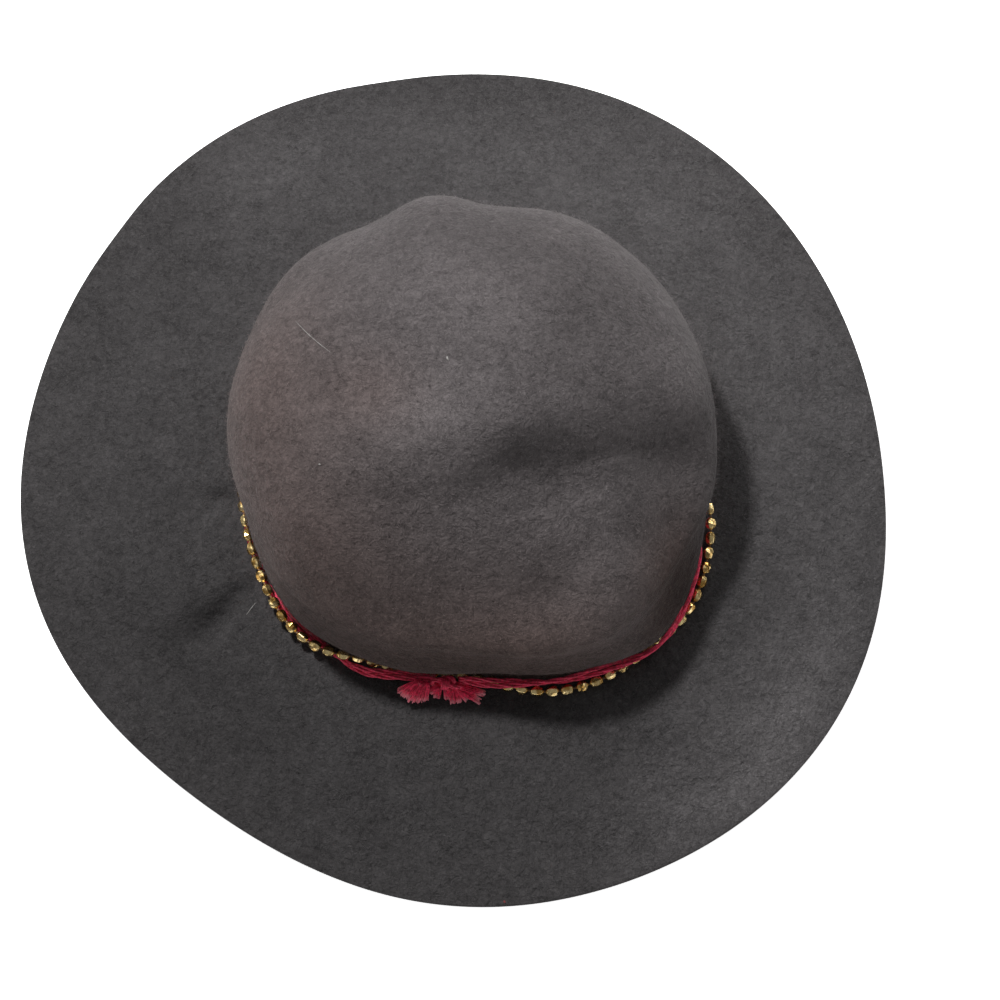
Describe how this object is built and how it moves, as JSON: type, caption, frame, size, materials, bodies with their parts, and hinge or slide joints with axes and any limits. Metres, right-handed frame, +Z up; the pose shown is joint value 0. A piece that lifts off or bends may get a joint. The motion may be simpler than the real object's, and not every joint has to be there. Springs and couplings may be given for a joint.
{
  "type": "floppy felt hat with a beaded cord band",
  "caption": "Soft felt hat with a dented round crown and a wide wavy brim, with a twisted band of cords and beads tied round the crown.",
  "frame": {"origin": "on the surface that the brim rests on, under the middle of the hat's box", "axes": "+Z up through the crown, +X to the right of the picture, -Y towards the band's knot and the viewer"},
  "size_m": [0.3642, 0.364, 0.1152],
  "materials": {
    "felt": "matt wool felt, charcoal grey with a warm brown cast",
    "beads": "bright gold colour, faceted",
    "cord": "twisted crimson cord"
  },
  "bodies": {
    "root": {"felt_body": "felt", "bead_string": "beads", "upper_cord": "cord", "lower_cord": "cord", "band_knot": "cord", "tassel": "cord"}
  },
  "joints": []
}
